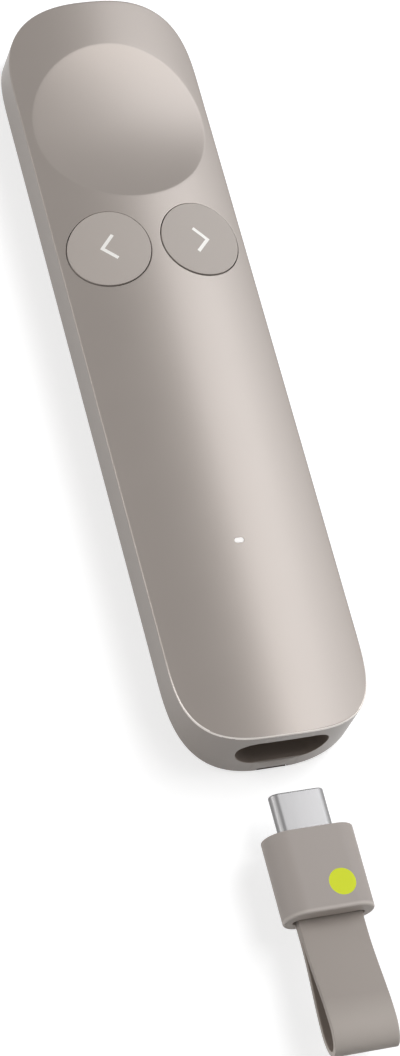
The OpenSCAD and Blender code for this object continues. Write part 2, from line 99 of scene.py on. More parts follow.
COVER_INSET = 1.9
COVER_GAP = 0.1
COVER_T = 1.2
LEDGE_W = 1.2
LEDGE_T = 0.8
LATCH_W = 4.8
LATCH_H = 0.65
LATCH_DEEP = 1.9
TONGUE_ROOT = 0.6
TONGUE_SIDE = 0.15
TONGUE_T = 0.15
TONGUE_LIFT = 0.005
TONGUE_EASE = 0.03
HOOK_GAP = 0.2
HOOK_T = 0.7
HOOK_HALF_L = 2
BARB_OUT = 0.8
BARB_LOW = 0.05
BARB_HIGH = 0.95
BELLY_EDGE = 0.12
CREASE = 0.3
# the eased edges along the cover's seam, as (distance from the seam, height over the belly)
SHELL_SEAM = ((0.2, 0), (0.08, 0), (0.025, 0.02), (0, 0.08))
COVER_SEAM = ((0.07, 0), (0.02, 0.02), (0, 0.07))
COVER_FACE = 0.16

DOCK_Z = 6.8875
DOCK_HALF_W = 7.05
DOCK_HALF_H = 3.55
DOCK_FRONT_Y = -59.8
DOCK_EDGE = 0.12
# the parts of the end wall and of the wall behind it that are filled again round the slot
PATCH_HALF_W = 9.6
PATCH_DEPTH = 2.2
PATCH_LOW = 2
PATCH_HIGH = 11.5
INNER_HALF_W = 8
INNER_LOW = 3
INNER_HIGH = 11

CASE_HALF_W = 6.85
CASE_HALF_H = 3.35
CASE_END = -87.8
CASE_FRONT = -75.2
CASE_WALL = 1.0
CASE_BACK_EDGE = 0.35
CASE_FRONT_EDGE = 0.16
CASE_EASE = 0.05
NOSE_GAP = 0.03
NOSE_EASE = 0.04
PLUG_HALF_W = 4.125
PLUG_HALF_H = 1.2
PLUG_TIP = -68.8
PLUG_ROOT = 1.2
PLUG_WALL = 0.25
PLUG_MOUTH = 0.2
# the inner edge of the plug's mouth, as (distance from the inside, distance from the tip)
PLUG_LIP = ((0.015, 0.005), (0, 0.04))
PIN_R = 0.6
PIN_HOLE_R = PIN_R + 0.03
PIN_HOLE_SKIN = 0.6
PIN_Y = -84.6
SPOT_R = 2.0
SPOT_X = 2.15
SPOT_Y = -83.95
SPOT_T = 0.25

STRAP_Z = 6.6375
STRAP_END_Z = 6.9675
STRAP_T = 0.9
STRAP_HALF_W = 4.85
STRAP_EASE = 0.14
STRAP_SLOT_SIDE = 0.57
STRAP_SLOT_GAP = 0.15
STRAP_SLOT_EDGE = 0.12
LOOP_L = 20.1
LOOP_H = 4.96
LOOP_TIP_L = 3.9
LOOP_THIN = 0.015
LOOP_POINT = 0.02
LOOP_END = CASE_END - LOOP_L
NECK_L = 3.0
NECK_END = CASE_END - NECK_L

# how far beside a rounded edge the next ring lies, so that the face there is shaded evenly
RIM_MARGIN = 0.12
EDGE_MARGIN = 0.1
CASE_MARGIN = 0.08
SLIT_MARGIN = 0.06
BAND_MARGIN = 0.04

# steps in a quarter of the rim, round a circle and round each end of an oval
RIM_COUNT = 40
DISH_COUNT = 144
KEY_COUNT = 120
LIGHT_COUNT = 12
OVAL_COUNT = 24
SLIT_COUNT = 16
PLUG_COUNT = 20
SPOT_COUNT = 64
PIN_COUNT = 48

# how close a face is to where it is looked for, in millimetres, and vertices to be merged, in metres
NEAR = 0.01
SAME_PLACE = 2e-7


# ---- camera ----

def set_camera():
    """The view is from the lower left and above, with the camera turned on its side a little."""
    azimuth, elevation, roll = 0.688131711, 1.05263328, 0.490069648
    distance, across, up = 577.920588, -1.47878167, -9.85997766
    focal_length, frame_height = 3929.92743, 1056
    aim = Vector((0, -16.6707, 9.8))
    back = Vector((
        -math.sin(azimuth) * math.cos(elevation),
        -math.cos(azimuth) * math.cos(elevation),
        math.sin(elevation),
    ))
    level = Vector((0, 0, 1)).cross(back).normalized()
    upright = back.cross(level)
    right = math.cos(roll) * level + math.sin(roll) * upright
    top = math.cos(roll) * upright - math.sin(roll) * level
    place = back * distance + right * across + top * up + aim
    lens = bpy.data.cameras.new("camera")
    lens.sensor_width = 36
    lens.lens = focal_length * 36 / frame_height
    lens.clip_start = 0.01
    lens.clip_end = 20
    camera = bpy.data.objects.new("camera", lens)
    bpy.context.scene.collection.objects.link(camera)
    turn = Matrix((right, top, back)).transposed()
    camera.matrix_world = Matrix.Translation(place * MM) @ turn.to_4x4()
    bpy.context.scene.camera = camera


set_camera()


# ---- modelling by rings ----

def millimetres(x, y, z):
    return Vector((x * MM, y * MM, z * MM))


def select(kind, action="DESELECT"):
    """Turns to vertices, edges or faces in edit mode, and selects none or all of them."""
    bpy.ops.mesh.select_mode(type=kind)
    bpy.ops.mesh.select_all(action=action)


def select_no_object():
    bpy.ops.object.select_all(action="DESELECT")


class Shape:
    """A piece built in edit mode, from numbered loops of vertices that are extruded and placed."""

    def __init__(self, name):
        select_no_object()
        bpy.ops.mesh.primitive_circle_add(vertices=3, radius=MM)
        self.piece = bpy.context.object
        self.piece.name = name
        self.piece.data.name = name
        bpy.ops.object.mode_set(mode="EDIT")
        select("VERT", "SELECT")
        bpy.ops.mesh.delete(type="VERT")
        mesh = self.mesh()
        mesh.verts.layers.int.new("number")
        mesh.verts.layers.int.new("loop")
        mesh.faces.layers.int.new("sheet")
        self.last = 0

    def mesh(self):
        return bmesh.from_edit_mesh(self.piece.data)

    def show(self):
        bmesh.update_edit_mesh(self.piece.data)

    def lay(self, points):
        """Puts the selected loop on the points, and gives it the next name."""
        mesh = self.mesh()
        number = mesh.verts.layers.int["number"]
        loop = mesh.verts.layers.int["loop"]
        sheet = mesh.faces.layers.int["sheet"]
        self.last += 1
        for vertex in mesh.verts:
            if vertex.select:
                vertex.co = points[vertex[number]]
                vertex[loop] = self.last
                for face in vertex.link_faces:
                    face[sheet] = 0
        self.show()
        return self.last

    def loop(self, points):
        """Adds a closed loop through the points."""
        bpy.ops.mesh.select_all(action="DESELECT")
        bpy.ops.mesh.primitive_circle_add(vertices=len(points), radius=MM)
        mesh = self.mesh()
        number = mesh.verts.layers.int["number"]
        vertex = next(v for v in mesh.verts if v.select)
        edge = vertex.link_edges[0]
        for place in range(len(points)):
            vertex[number] = place
            vertex = edge.other_vert(vertex)
            edge = next(e for e in vertex.link_edges if e != edge)
        return self.lay(points)

    def pick(self, *names):
        """Selects whole loops by name."""
        select("EDGE")
        mesh = self.mesh()
        loop = mesh.verts.layers.int["loop"]
        for edge in mesh.edges:
            first, second = edge.verts
            if first[loop] in names and first[loop] == second[loop] and len(edge.link_faces) < 2:
                edge.select = True
        self.show()

    def pull(self, name, *steps):
        """Extrudes a loop once for each list of points, and returns the last loop's name."""
        self.pick(name)
        for points in steps:
            bpy.ops.mesh.extrude_edges_move()
            name = self.lay(points)
        return name

    def cap(self, name):
        """Closes a flat loop with one face."""
        self.pick(name)
        bpy.ops.mesh.edge_face_add()

    def close(self, name):
        """Closes a loop with a fan of triangles on one middle vertex."""
        self.pick(name)
        bpy.ops.mesh.extrude_edges_move()
        bpy.ops.mesh.merge(type="CENTER")

    def fill(self, axis, *names):
        """Fills between an outer loop and the loops in it, seen along the axis, and names the sheet."""
        self.pick(*names)
        mesh = self.mesh()
        count = len(mesh.faces)
        mesh.verts.index_update()
        # flattened and enlarged for the fill, and turned so that no two vertices are level
        places = []
        odd_angle = 0.37
        turn = Matrix.Rotation(odd_angle, 3, "XYZ"[axis])
        for vertex in mesh.verts:
            if vertex.select:
                places.append((vertex.index, vertex.co.copy()))
                vertex.co[axis] = 0
                vertex.co = turn @ vertex.co / MM
        self.show()
        bpy.ops.mesh.fill(use_beauty=True)
        mesh = self.mesh()
        mesh.verts.ensure_lookup_table()
        for index, place in places:
            mesh.verts[index].co = place
        sheet = mesh.faces.layers.int["sheet"]
        self.last += 1
        for face in mesh.faces:
            if face.select and face[sheet] == 0:
                face[sheet] = self.last
        made = sum(1 for face in mesh.faces if face[sheet] == self.last)
        if made == 0 or len(mesh.faces) != count + made:
            raise ValueError(f"{self.piece.name}: the space between the loops was not filled")
        return self.last

    def cut(self, name, axis, places):
        """Cuts a sheet along planes that face along the axis."""
        normal = tuple(1.0 if i == axis else 0.0 for i in range(3))
        for place in places:
            mesh = self.mesh()
            sheet = mesh.faces.layers.int["sheet"]
            select("FACE")
            for face in mesh.faces:
                if face[sheet] == name:
                    face.select = True
            mesh.select_flush(True)
            self.show()
            at = tuple(place * MM if i == axis else 0.0 for i in range(3))
            bpy.ops.mesh.bisect(plane_co=at, plane_no=normal, threshold=1e-7)
        bpy.ops.mesh.select_mode(type="VERT")

    def drape(self, name, place):
        """Moves a sheet's own vertices with the function place, which takes and gives millimetres."""
        mesh = self.mesh()
        sheet = mesh.faces.layers.int["sheet"]
        for vertex in mesh.verts:
            if any(face[sheet] == name for face in vertex.link_faces):
                vertex.co = place(vertex.co / MM) * MM
        self.show()

    def strips(self, name, height, across, along=()):
        """Cuts a sheet's long triangles into strips, and lays it at the height that the function gives."""
        self.cut(name, 0, across)
        self.cut(name, 1, along)
        self.drape(name, lambda p: Vector((p.x, p.y, height(p.x, p.y))))

    def remove_faces(self, test):
        """Takes out the faces whose middle passes the test, and names the loop round them."""
        select("FACE")
        mesh = self.mesh()
        for face in mesh.faces:
            if test(face.calc_center_median() / MM):
                face.select = True
        self.show()
        bpy.ops.mesh.delete(type="FACE")
        mesh = self.mesh()
        loop = mesh.verts.layers.int["loop"]
        self.last += 1
        for edge in mesh.edges:
            if len(edge.link_faces) == 1:
                for vertex in edge.verts:
                    vertex[loop] = self.last
        bpy.ops.mesh.select_mode(type="VERT")
        self.show()
        return self.last

    def done(self, angle=35):
        """Merges what meets, turns the faces outwards and smooths all but the sharp edges."""
        merge_close()
        bpy.ops.mesh.normals_make_consistent(inside=False)
        bpy.ops.object.mode_set(mode="OBJECT")
        smooth(self.piece, angle)
        return self.piece


def merge_close():
    """Merges the vertices that lie in one place, in edit mode."""
    select("VERT", "SELECT")
    bpy.ops.mesh.remove_doubles(threshold=SAME_PLACE)


def only(piece):
    select_no_object()
    piece.select_set(True)
    bpy.context.view_layer.objects.active = piece


def smooth(piece, angle=35):
    only(piece)
    bpy.ops.object.shade_smooth_by_angle(angle=math.radians(angle))


def cut_away(piece, tool, operation="DIFFERENCE"):
    """Cuts the tool out of the piece, or joins it on, takes the tool away and merges what meets."""
    modifier = piece.modifiers.new("cut", "BOOLEAN")
    modifier.operation = operation
    modifier.solver = "EXACT"
    modifier.object = tool
    only(piece)
    bpy.ops.object.modifier_apply(modifier=modifier.name)
    bpy.data.objects.remove(tool, do_unlink=True)
    bpy.ops.object.mode_set(mode="EDIT")
    merge_close()
    bpy.ops.object.mode_set(mode="OBJECT")


def settle(name):
    """Names the new object, and makes its place, turn and size part of its mesh."""
    tool = bpy.context.object
    tool.name = name
    bpy.ops.object.transform_apply(location=True, rotation=True, scale=True)
    return tool


def block(name, low, high):
    """A box between two corners, to cut or join with."""
    select_no_object()
    middle = [(a + b) / 2 * MM for a, b in zip(low, high)]
    bpy.ops.mesh.primitive_cube_add(size=1, location=middle)
    bpy.context.object.scale = [(b - a) * MM for a, b in zip(low, high)]
    return settle(name)


def rod(name, start, end, radius, count=PIN_COUNT):
    """A round bar between two points, to cut or join with."""
    select_no_object()
    start, end = Vector(start) * MM, Vector(end) * MM
    turn = (end - start).to_track_quat("Z", "Y").to_euler()
    bpy.ops.mesh.primitive_cylinder_add(
        vertices=count, radius=radius * MM, depth=(end - start).length,
        location=(start + end) / 2, rotation=turn,
    )
    return settle(name)


# ---- the body's surfaces ----

def crown_z(x, depth=0.0):
    return CROWN_AXIS + math.sqrt((CROWN_RAD - depth) ** 2 - x * x)


def belly_z(x, depth=0.0):
    return BELLY_AXIS - math.sqrt((BELLY_RAD - depth) ** 2 - x * x)


def belly_skin_z(x):
    """The belly, with the flat land that the body rests on."""
    return max(0.0, belly_z(x))


def crown_at(depth=0.0, drop=0.0):
    """A height function for rings: so deep under the crown, and so far down from there."""
    return lambda x, y: crown_z(x, depth) - drop


def belly_at(depth):
    return lambda x, y: belly_z(x, depth)


def skin_at(lift=0.0):
    return lambda x, y: belly_skin_z(x) + lift


def dish_z(x, y, depth=0.0):
    reach = (DISH_PROFILE_RAD + depth) ** 2 - (y - DISH_Y) ** 2
    if reach <= 0:
        return BODY_H
    spool = DISH_FLOOR_RAD + DISH_PROFILE_RAD - math.sqrt(reach)
    return BODY_H - DISH_DEPTH - DISH_FLOOR_RAD + math.sqrt(spool ** 2 - x * x)


def top_z(x, y):
    """The crown with the dish sunk in, and a soft edge where they meet."""
    crown, dish = crown_z(x), dish_z(x, y)
    return (crown + dish - math.sqrt((crown - dish) ** 2 + DISH_SOFT ** 2)) / 2


def plan_curve(t, inset):
    return (
        (HALF_W - inset) * math.cos(t) ** (2 / SIDE_POWER),
        STRAIGHT + (END_DEPTH - inset) * math.sin(t) ** (2 / END_POWER),
    )


def even_turns(count):
    """Turns from 0 to a quarter that space the rounded end evenly along its length."""
    fine = 4000
    turns = [math.pi / 2 * (1 - math.cos(math.pi * i / fine)) / 2 for i in range(fine + 1)]
    places = [plan_curve(min(t, math.pi / 2), 0) for t in turns]
    length = [0.0]
    for a, b in zip(places, places[1:]):
        length.append(length[-1] + math.dist(a, b))
    chosen = []
    k = 0
    for i in range(count + 1):
        goal = length[-1] * i / count
        while k < fine and length[k] < goal:
            k += 1
        chosen.append(turns[k])
    chosen[0] = 0.0
    chosen[-1] = math.pi / 2
    return chosen


TURNS = even_turns(RIM_COUNT)


def mirrored(quarter):
    """The whole outline from its quarter at the upper right, anticlockwise."""
    left = [(-x, y) for x, y in quarter[-2::-1]]
    upper = quarter + left
    return upper + [(-x, -y) for x, y in upper]


def outline(inset):
    quarter = [plan_curve(t, inset) for t in TURNS]
    quarter[-1] = (0.0, quarter[-1][1])
    return mirrored(quarter)


def outward():
    """The direction out of the outline at each of its points."""
    quarter = []
    for t in TURNS:
        x, y = plan_curve(t, 0)
        across = SIDE_POWER / HALF_W * (x / HALF_W) ** (SIDE_POWER - 1)
        along = END_POWER / END_DEPTH * ((y - STRAIGHT) / END_DEPTH) ** (END_POWER - 1)
        size = math.hypot(across, along)
        quarter.append((across / size, along / size))
    quarter[-1] = (0.0, 1.0)
    return mirrored(quarter)


RIM = outline(0)
OUT = outward()


def edge_ring(surface, surface_rad, up, radius, share, beyond):
    """A ring of the rounded edge between the wall and a surface: share 0 is on the wall, 1 on the surface.

    With beyond it lies that far past the edge, on the wall or on the surface. Up is 1 for the crown, -1 for
    the belly.
    """
    points = []
    for (x, y), (nx, ny) in zip(RIM, OUT):
        slope = x * nx / math.sqrt(surface_rad ** 2 - x * x)
        flat = math.sqrt(1 + slope * slope)
        middle = surface(x) + up * slope * radius - up * radius * flat
        angle = math.acos(slope / flat) * share
        move = radius - radius * math.cos(angle)
        z = middle + up * radius * math.sin(angle)
        if share == 0:
            z -= up * beyond
        if share == 1:
            move += beyond
            z = surface(x - nx * move)
        points.append(millimetres(x - nx * move, y - ny * move, z))
    return points


def crease_ring(share, beyond=0.0):
    return edge_ring(crown_z, CROWN_RAD, 1, CREASE, share, beyond)


def belly_ring(share, beyond=0.0):
    return edge_ring(belly_skin_z, BELLY_RAD, -1, BELLY_EDGE, share, beyond)


def level_ring(inset, height, clip=None):
    """A ring of the outline moved in by inset, at the height that the function gives."""
    points = []
    for x, y in outline(inset):
        if clip is not None:
            y = max(y, clip)
        points.append(millimetres(x, y, height(x, y)))
    return points


def circle_ring(x, y, radius, height, count):
    points = []
    for i in range(count):
        a = 2 * math.pi * i / count
        px, py = x + radius * math.cos(a), y + radius * math.sin(a)
        points.append(millimetres(px, py, height(px, py)))
    return points


def stadium(half_w, half_h, count):
    """A flat-sided oval as (across, up) pairs, anticlockwise from the lower right."""
    flat = half_w - half_h
    points = []
    for side in (1, -1):
        for i in range(count + 1):
            a = -math.pi / 2 + math.pi * i / count
            points.append((side * (flat + half_h * math.cos(a)), side * half_h * math.sin(a)))
    return points


def oval_ring(half_w, half_h, y, z=DOCK_Z, count=OVAL_COUNT):
    """A ring of a flat-sided oval that stands across the body."""
    return [millimetres(x, y, z + up) for x, up in stadium(half_w, half_h, count)]


def rounded(edge, steps):
    """(across, along) of a quarter round, from the face that the edge starts on round to the side."""
    pairs = []
    for i in range(steps + 1):
        a = math.pi / 2 * i / steps
        pairs.append((edge * (1 - math.sin(a)), edge * (1 - math.cos(a))))
    return pairs


def columns(step, count, middle=0):
    """Evenly spaced cuts, so many on each side of the middle."""
    return [middle + i * step for i in range(-count, count + 1)]


# ---- body shell ----

def shell_inner_z(x, y):
    return min(crown_z(x, WALL), dish_z(x, y, WALL))


def dish_radii():
    """The rings of the dish: close together where it meets the crown, then evenly down to its middle."""
    lip = (0.7, 0.5, 0.36, 0.24, 0.15, 0.07, 0.0, -0.07, -0.15, -0.24, -0.36, -0.5, -0.7)
    first, step, last = DISH_R - 1.1, 0.9, 0.8
    return [DISH_R + r for r in lip] + [first - step * i for i in range(13)] + [last]


def key_hole_ring(side, grow, height):
    return circle_ring(side * KEY_X, KEY_Y, KEY_HOLE_R + grow, height, KEY_COUNT)


def light_ring(grow, height):
    pairs = stadium(LIGHT_W / 2 + LIGHT_GAP + grow, LIGHT_H / 2 + LIGHT_GAP + grow, LIGHT_COUNT)
    return [millimetres(x, LIGHT_Y + y, height(x, y)) for x, y in pairs]


def end_y(x):
    """Where the lower end of the outline lies at x."""
    place = None
    for (ax, ay), (bx, by) in zip(RIM, RIM[1:]):
        if ay < 0 and by < 0 and ax <= x <= bx and bx > ax:
            place = ay + (by - ay) * (x - ax) / (bx - ax)
    return place


def slot_ring(grow, depth):
    """A ring of the slot's edge, which follows the curve of the end wall."""
    pairs = stadium(DOCK_HALF_W + grow, DOCK_HALF_H + grow, OVAL_COUNT)
    return [millimetres(x, end_y(x) + depth, DOCK_Z + z) for x, z in pairs]


def on_end_wall(p):
    by_the_end = p.y < -BODY_L / 2 + PATCH_DEPTH and abs(p.x) < PATCH_HALF_W
    return by_the_end and PATCH_LOW < p.z < PATCH_HIGH and p.y < end_y(p.x) + NEAR


def behind_end_wall(p):
    inside = abs(p.y - DOCK_FRONT_Y) < NEAR and abs(p.x) < INNER_HALF_W
    return inside and INNER_LOW < p.z < INNER_HIGH


def make_body_shell():
    """The one-piece casing: crown, dish, key holes, light hole, walls, belly edge and the slot."""
    shape = Shape("body_shell")

    # crown, from the edge rings of everything that breaks it
    rim = shape.loop(crease_ring(1, RIM_MARGIN))
    dish_rings = [circle_ring(0, DISH_Y, radius, top_z, DISH_COUNT) for radius in dish_radii()]
    dish = shape.loop(dish_rings[0])
    key_margin = KEY_HOLE_EDGE + EDGE_MARGIN
    keys = [shape.loop(key_hole_ring(side, key_margin, crown_at())) for side in SIDES]
    light = shape.loop(light_ring(LIGHT_EDGE + SLIT_MARGIN, crown_at()))
    crown = shape.fill(2, rim, dish, *keys, light)
    shape.close(shape.pull(dish, *dish_rings[1:]))

    # key holes and light hole, down to the inner face
    inner_loops = []
    for side, key in zip(SIDES, keys):
        steps = [key_hole_ring(side, a, crown_at(0, b)) for a, b in rounded(KEY_HOLE_EDGE, 3)]
        steps.append(key_hole_ring(side, 0, shell_inner_z))
        inner_loops.append(shape.pull(key, *steps))
    steps = [light_ring(a, crown_at(0, b)) for a, b in rounded(LIGHT_EDGE, 3)]
    steps.append(light_ring(0, crown_at(WALL)))
    inner_loops.append(shape.pull(light, *steps))

    # side wall and belly edge
    shares = [i / 5 for i in range(6)]
    steps = [crease_ring(share) for share in reversed(shares)]
    steps += [crease_ring(0, RIM_MARGIN), belly_ring(0, RIM_MARGIN)]
    steps += [belly_ring(share) for share in shares] + [belly_ring(1, RIM_MARGIN)]
    seam = COVER_INSET - COVER_GAP
    steps += [level_ring(seam - aside, skin_at(lift)) for aside, lift in SHELL_SEAM]
    # cover seat, ledge and the inside
    opening = COVER_INSET + LEDGE_W
    seat, ledge = belly_at(COVER_T), belly_at(COVER_T + LEDGE_T)
    steps += [
        level_ring(seam, seat), level_ring(opening, seat), level_ring(opening, ledge),
        level_ring(WALL, ledge, DOCK_FRONT_Y), level_ring(WALL, shell_inner_z, DOCK_FRONT_Y),
    ]
    inner_rim = shape.pull(rim, *steps)
    roof = shape.fill(2, inner_rim, *inner_loops)

    # slot in the lower end, with an eased edge, through to the inside
    patch = shape.remove_faces(on_end_wall)
    slot = shape.loop(slot_ring(DOCK_EDGE + EDGE_MARGIN, 0))
    end_wall = shape.fill(1, patch, slot)
    steps = [slot_ring(a, b) for a, b in rounded(DOCK_EDGE, 4)]
    steps.append(oval_ring(DOCK_HALF_W, DOCK_HALF_H, DOCK_FRONT_Y))
    through = shape.pull(slot, *steps)
    shape.fill(1, shape.remove_faces(behind_end_wall), through)

    # the long triangles are cut into strips that follow each surface
    shape.strips(crown, crown_at(), columns(0.5, 28))
    shape.strips(roof, shell_inner_z, columns(2.0, 6), [27 + i * 2.5 for i in range(13)])
    shape.cut(end_wall, 0, sorted({round(x, 6) for x, y in RIM if y < 0 and abs(x) < PATCH_HALF_W}))
    shape.drape(end_wall, lambda p: Vector((p.x, end_y(p.x), p.z)))
    piece = shape.done()

    low = (-LATCH_W / 2, -BODY_L / 2 - 1, -1)
    high = (LATCH_W / 2, -BODY_L / 2 + LATCH_DEEP, LATCH_H)
    cut_away(piece, block("notch", low, high))
    smooth(piece)
    return piece


# ---- belly cover ----

def make_tongue():
    """The cover's prising tongue, whose end follows the rounded edge of the body."""
    half = LATCH_W / 2 - TONGUE_SIDE
    root = -BODY_L / 2 + COVER_INSET + TONGUE_ROOT
    middle = -BODY_L / 2 + BELLY_EDGE
    ease = BELLY_EDGE - TONGUE_EASE
    profile = [(root, TONGUE_LIFT)]
    for i in range(5):
        a = math.pi / 2 * i / 4
        profile.append((middle - ease * math.sin(a), TONGUE_LIFT + ease * (1 - math.cos(a))))
    profile.append((middle - ease, TONGUE_T - TONGUE_EASE))
    profile.append((middle - ease + TONGUE_EASE, TONGUE_T))
    profile.append((root, TONGUE_T))
    shape = Shape("tongue")
    left = shape.loop([millimetres(-half, y, z) for y, z in profile])
    shape.cap(left)
    right = shape.pull(left, [millimetres(half, y, z) for y, z in profile])
    shape.cap(right)
    return shape.done()


def make_hooks():
    """The cover's barbed posts: one on each side is shaped, and the others are copied from it."""
    post_out = HALF_W - COVER_INSET - LEDGE_W - HOOK_GAP
    post_in = post_out - HOOK_T
    barb_out = post_out + BARB_OUT
    ledge_top = belly_z(barb_out, COVER_T + LEDGE_T)
    root = belly_z(post_in, COVER_T / 2)
    low, high = ledge_top + BARB_LOW, ledge_top + BARB_HIGH
    hooks = []
    for side in SIDES:
        left, right = sorted((side * post_in, side * post_out))
        hook = block("hook", (left, -HOOK_HALF_L, root), (right, HOOK_HALF_L, high))
        left, right = sorted((side * post_in, side * barb_out))
        cut_away(hook, block("barb", (left, -HOOK_HALF_L, low), (right, HOOK_HALF_L, high)), "UNION")
        for share in (-0.75, -0.25, 0.25, 0.75):
            copy = hook.copy()
            copy.data = hook.data.copy()
            bpy.context.scene.collection.objects.link(copy)
            copy.location.y = share * STRAIGHT * MM
            hooks.append(copy)
        bpy.data.objects.remove(hook, do_unlink=True)
    select_no_object()
    for hook in hooks:
        hook.select_set(True)
    bpy.context.view_layer.objects.active = hooks[0]
    bpy.ops.object.transform_apply(location=True, rotation=True, scale=True)
    bpy.ops.object.join()
    return bpy.context.object


def make_belly_cover():
    """The belly's own cover, with its prising tongue and its hooks."""
    shape = Shape("belly_cover")
    rim = shape.loop(level_ring(COVER_INSET + COVER_FACE, skin_at()))
    skin = shape.fill(2, rim)
    steps = [level_ring(COVER_INSET + aside, skin_at(lift)) for aside, lift in COVER_SEAM]
    steps.append(level_ring(COVER_INSET, belly_at(COVER_T)))
    inner = shape.fill(2, shape.pull(rim, *steps))
    shape.strips(skin, skin_at(), columns(0.5, 25))
    shape.strips(inner, belly_at(COVER_T), columns(1.5, 8))
    piece = shape.done()
    cut_away(piece, make_tongue(), "UNION")
    cut_away(piece, make_hooks(), "UNION")
    smooth(piece)
    return piece


# ---- keys ----

def chevron_ring(side, height):
    """The outline of a key's mark, with its tip towards the body's side."""
    lean = math.atan(MARK_H / 2 / MARK_W)
    half = MARK_LINE / 2
    tip = half / math.sin(lean)
    ax, ay = -half * math.sin(lean), half * math.cos(lean)
    ex, ey = MARK_W, MARK_H / 2
    corners = [
        (-tip, 0), (ex + ax, -ey - ay), (ex - ax, -ey + ay),
        (tip, 0), (ex - ax, ey - ay), (ex + ax, ey + ay),
    ]
    points = []
    for x, y in corners:
        x = -side * x + side * (KEY_X + MARK_SHIFT)
        points.append(millimetres(x, KEY_Y - side * (y + MARK_STEP), height(x, y)))
    return points


def make_key(name, side):
    """A round cap with an eased edge, the mark's recess, a stop bar and the stem below."""
    shape = Shape(name)
    middle = side * KEY_X
    top, bottom, recess = crown_at(-KEY_PROUD), crown_at(KEY_T), crown_at(MARK_DEPTH - KEY_PROUD)

    def ring(radius, height):
        return circle_ring(middle, KEY_Y, radius, height, KEY_COUNT)

    rim = shape.loop(ring(KEY_R - KEY_EDGE - EDGE_MARGIN, top))
    mark = shape.loop(chevron_ring(side, top))
    face = shape.fill(2, rim, mark)
    steps = [ring(KEY_R - a, crown_at(-KEY_PROUD, b)) for a, b in rounded(KEY_EDGE, 4)]
    steps.append(ring(KEY_R, bottom))
    under = shape.fill(2, shape.pull(rim, *steps))
    floor = shape.fill(2, shape.pull(mark, chevron_ring(side, recess)))
    shape.strips(face, top, columns(0.5, 12, middle))
    shape.strips(under, bottom, columns(1.0, 6, middle))
    shape.strips(floor, recess, columns(0.5, 12, middle))
    piece = shape.done()

    low = (middle - BAR_HALF_W, KEY_Y - BAR_REACH, PLUNGER_TOP + STEM_GAP)
    high = (middle + BAR_HALF_W, KEY_Y + BAR_REACH, BAR_TOP)
    bar = block("bar", low, high)
    for vertex in bar.data.vertices:
        if vertex.co.z > (low[2] + high[2]) / 2 * MM:
            vertex.co.z = crown_z(vertex.co.x / MM, WALL + STEM_GAP) * MM
    cut_away(piece, bar, "UNION")
    # the stem is a little thinner than the bar, so that it doesn't touch the bar's sides
    cut_away(piece, rod("stem", (middle, KEY_Y, PLUNGER_TOP), (middle, KEY_Y, STEM_TOP), STEM_R), "UNION")
    smooth(piece)
    return piece


# ---- receiver ----

def case_ring(inset, y):
    return oval_ring(CASE_HALF_W - inset, CASE_HALF_H - inset, y)


def strap_slot_ring(grow, y):
    half_w, half_h = STRAP_HALF_W + STRAP_SLOT_SIDE + grow, STRAP_T + STRAP_SLOT_GAP + grow
    return oval_ring(half_w, half_h, y, STRAP_Z, SLIT_COUNT)


def plug_ring(inset, y):
    return oval_ring(PLUG_HALF_W - inset, PLUG_HALF_H - inset, y, count=PLUG_COUNT)


def make_receiver_case():
    """The flat-oval housing: rounded outer end with the strap's slot, open end for the nose."""
    shape = Shape("receiver_case")
    back = shape.loop(case_ring(CASE_BACK_EDGE + CASE_MARGIN, CASE_END))
    slot = shape.loop(strap_slot_ring(STRAP_SLOT_EDGE + SLIT_MARGIN, CASE_END))
    shape.fill(1, back, slot)
    steps = [case_ring(a, CASE_END + b) for a, b in rounded(CASE_BACK_EDGE, 6)]
    steps.append(case_ring(0, CASE_END + CASE_BACK_EDGE + EDGE_MARGIN))
    steps.append(case_ring(0, CASE_FRONT - CASE_FRONT_EDGE - EDGE_MARGIN))
    steps += [case_ring(a, CASE_FRONT - b) for a, b in reversed(rounded(CASE_FRONT_EDGE, 4))]
    steps += [
        case_ring(CASE_FRONT_EDGE + CASE_MARGIN, CASE_FRONT),
        case_ring(CASE_WALL - CASE_EASE, CASE_FRONT), case_ring(CASE_WALL, CASE_FRONT - CASE_EASE),
        case_ring(CASE_WALL, CASE_END + CASE_WALL),
    ]
    inner = shape.pull(back, *steps)
    steps = [strap_slot_ring(a, CASE_END + b) for a, b in rounded(STRAP_SLOT_EDGE, 4)]
    steps.append(strap_slot_ring(0, CASE_END + CASE_WALL))
    shape.fill(1, inner, shape.pull(slot, *steps))
    piece = shape.done()
    half = CASE_HALF_W - PIN_HOLE_SKIN
    cut_away(piece, rod("pin_hole", (-half, PIN_Y, STRAP_Z), (half, PIN_Y, STRAP_Z), PIN_HOLE_R))
    top = DOCK_Z + CASE_HALF_H
    floor, above = (SPOT_X, SPOT_Y, top - SPOT_T), (SPOT_X, SPOT_Y, top + 1)
    cut_away(piece, rod("spot_hole", floor, above, SPOT_R, SPOT_COUNT))
    smooth(piece)
    return piece


def make_receiver_nose():
    """The plate that closes the housing round the plug."""
    shape = Shape("receiver_face")
    inset = CASE_WALL + NOSE_GAP
    back = CASE_FRONT - CASE_WALL
    outer = shape.loop(case_ring(inset + CASE_EASE, CASE_FRONT))
    inner = shape.loop(plug_ring(-NOSE_EASE, CASE_FRONT))
    shape.fill(1, outer, inner)
    outer = shape.pull(outer, case_ring(inset, CASE_FRONT - CASE_EASE), case_ring(inset, back))
    inner = shape.pull(inner, plug_ring(0, CASE_FRONT - NOSE_EASE), plug_ring(0, back))
    shape.fill(1, outer, inner)
    return shape.done()


